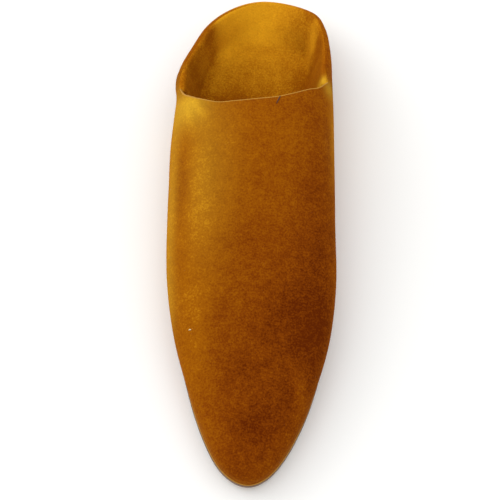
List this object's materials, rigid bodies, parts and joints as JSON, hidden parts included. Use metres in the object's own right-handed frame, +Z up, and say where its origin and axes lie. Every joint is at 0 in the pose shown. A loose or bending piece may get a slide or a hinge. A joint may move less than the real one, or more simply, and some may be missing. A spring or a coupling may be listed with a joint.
{
  "type": "babouche slipper",
  "caption": "Backless suede slipper for the right foot: pointed toe, deep open throat, back quarter folded down flat inside the heel, thin flat leather sole.",
  "frame": {"origin": "under the middle of the slipper's bounding box, on the floor plane", "axes": "+Z up, -Y towards the pointed toe, +Y towards the heel, +X towards the inner (big-toe) side of the foot"},
  "size_m": [0.0854, 0.265, 0.0494],
  "materials": {
    "suede": "mustard suede, brushed nap",
    "sole_leather": "vegetable-tanned sole leather, burnished edge",
    "sock_leather": "smooth natural lining leather"
  },
  "bodies": {
    "root": {"upper": "suede", "outsole": "sole_leather", "insole": "sock_leather"}
  },
  "joints": []
}
